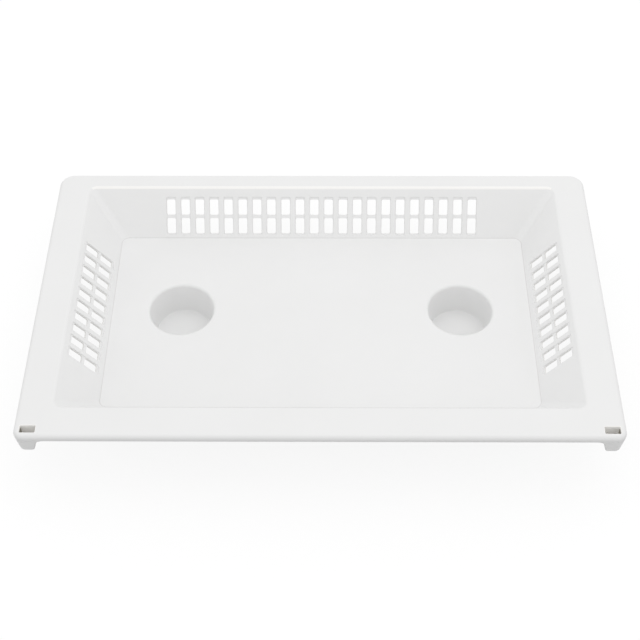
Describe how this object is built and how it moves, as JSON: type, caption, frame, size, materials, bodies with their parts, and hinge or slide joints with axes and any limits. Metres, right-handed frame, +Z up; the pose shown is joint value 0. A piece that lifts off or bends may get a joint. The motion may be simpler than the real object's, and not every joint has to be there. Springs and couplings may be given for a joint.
{
  "type": "vented tray",
  "caption": "Shallow moulded tray with a wide flat rim, vent windows in its back and side walls, round wells sunk in its floor and slotted lugs under its front corners.",
  "frame": {"origin": "centre of the tray's bounding box at its lowest level, under the wells", "axes": "+X to the right along the rim's long side, +Y from the front rim with the lugs to the back wall, +Z up out of the basin"},
  "size_m": [0.53, 0.325, 0.0767],
  "materials": {
    "white_plastic": "satin"
  },
  "bodies": {
    "root": {"back_rail": "white_plastic", "front_rail": "white_plastic", "left_rail": "white_plastic", "right_rail": "white_plastic", "back_left_corner": "white_plastic", "back_right_corner": "white_plastic", "front_left_corner": "white_plastic", "front_right_corner": "white_plastic", "back_lip": "white_plastic", "front_lip": "white_plastic", "left_lip": "white_plastic", "right_lip": "white_plastic", "left_lug": "white_plastic", "right_lug": "white_plastic", "back_wall": "white_plastic", "front_wall": "white_plastic", "left_wall": "white_plastic", "right_wall": "white_plastic", "floor_panel": "white_plastic", "left_well": "white_plastic", "right_well": "white_plastic"}
  },
  "joints": []
}
